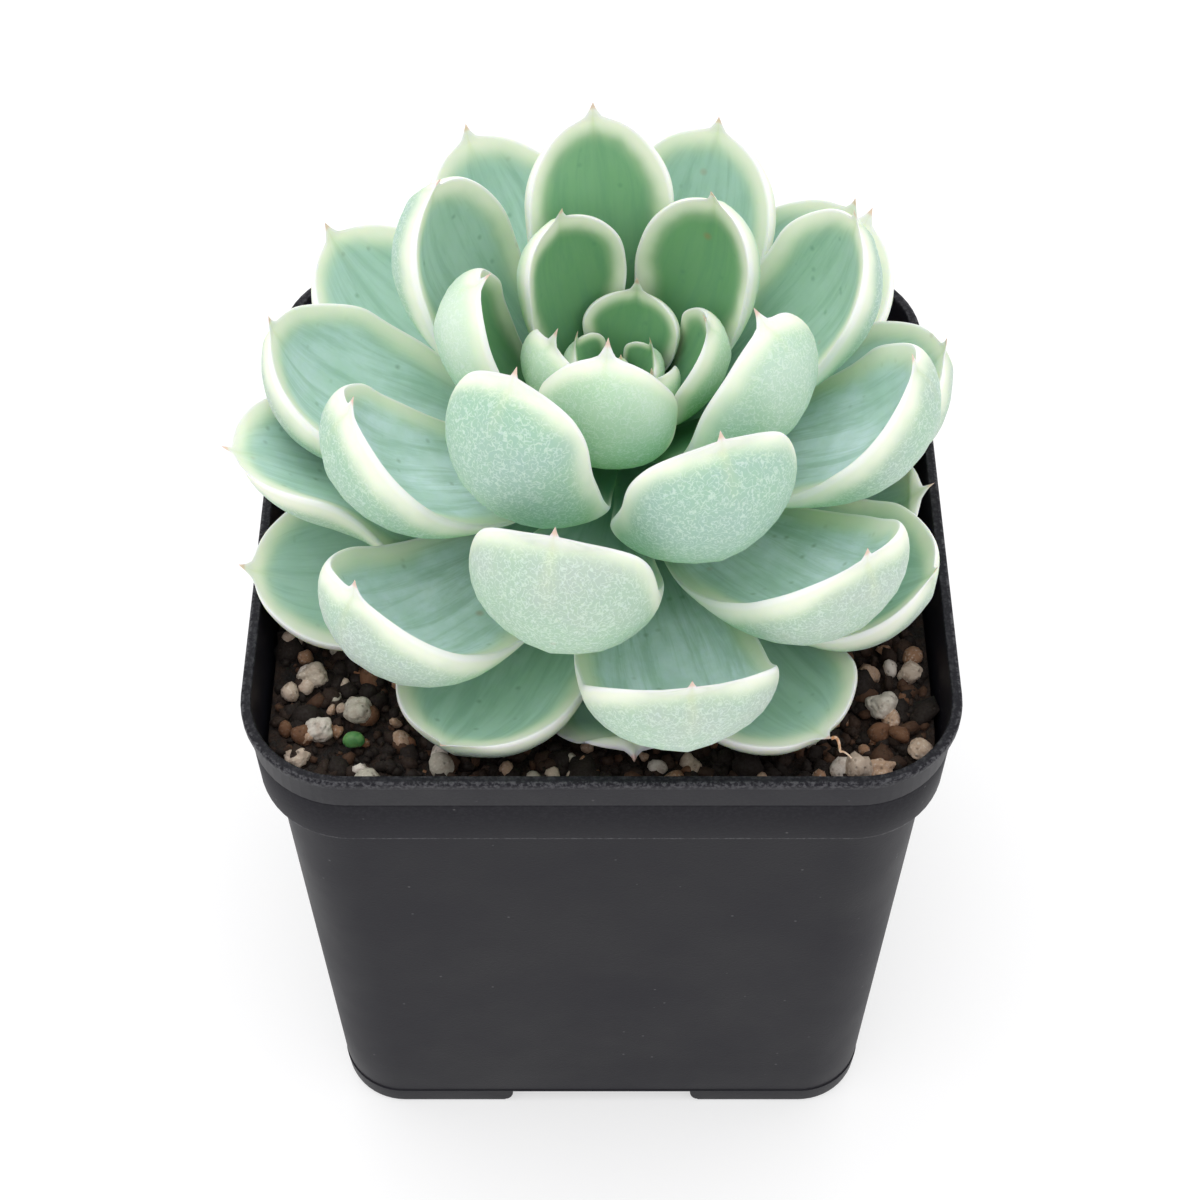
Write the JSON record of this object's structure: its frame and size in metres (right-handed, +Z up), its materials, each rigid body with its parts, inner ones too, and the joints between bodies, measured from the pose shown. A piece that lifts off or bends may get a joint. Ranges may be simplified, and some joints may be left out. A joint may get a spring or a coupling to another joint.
{
  "type": "potted succulent",
  "caption": "Rosette succulent with thick pointed blue-green leaves, growing in gritty soil in a square dark plastic nursery pot.",
  "frame": {"origin": "on the plane the pot stands on, under the middle of the whole object's box", "axes": "+Z up through the pot, +X to the pot's right side and +Y to its back; the pot's sides lie along X and Y"},
  "size_m": [0.0936, 0.0934, 0.144],
  "materials": {
    "pot": "charcoal injection-moulded plastic, finely grained, scuffed paler along the lip",
    "soil": "dark peat crumbs mixed with fine grit",
    "pumice": "rough pumice grains, cream to orange brown",
    "stem": null,
    "young_leaf": null,
    "old_leaf": null
  },
  "bodies": {
    "root": {"bud": "young_leaf", "leaf_05": "young_leaf", "leaf_06": "young_leaf", "leaf_07": "young_leaf", "leaf_08": "young_leaf", "leaf_09": "young_leaf", "leaf_10": "young_leaf", "leaf_11": "young_leaf", "leaf_12": "young_leaf", "leaf_13": "young_leaf", "leaf_14": "young_leaf", "leaf_15": "young_leaf", "leaf_16": "young_leaf", "leaf_17": "old_leaf", "leaf_18": "old_leaf", "leaf_19": "old_leaf", "leaf_20": "old_leaf", "leaf_21": "old_leaf", "leaf_22": "old_leaf", "leaf_23": "old_leaf", "leaf_24": "old_leaf", "leaf_25": "old_leaf", "leaf_26": "old_leaf", "leaf_27": "old_leaf", "leaf_28": "old_leaf", "leaf_29": "old_leaf", "leaf_30": "old_leaf", "leaf_31": "old_leaf", "leaf_32": "old_leaf", "leaf_33": "old_leaf", "leaf_34": "old_leaf", "leaf_35": "old_leaf", "leaf_36": "old_leaf", "leaf_37": "old_leaf", "leaf_38": "old_leaf", "leaf_39": "old_leaf", "leaf_40": "old_leaf", "leaf_41": "old_leaf", "leaf_42": "old_leaf", "leaf_43": "old_leaf", "leaf_44": "old_leaf", "leaf_45": "old_leaf", "leaf_46": "old_leaf", "offset_bud": "young_leaf", "pot": "pot", "soil": "soil", "stem": "stem", "stone_a": "pumice", "stone_b": "pumice", "stone_c": "pumice", "stone_d": "pumice", "stone_e": "pumice", "stone_f": "pumice", "stone_g": "pumice", "stone_h": "pumice"}
  },
  "joints": []
}
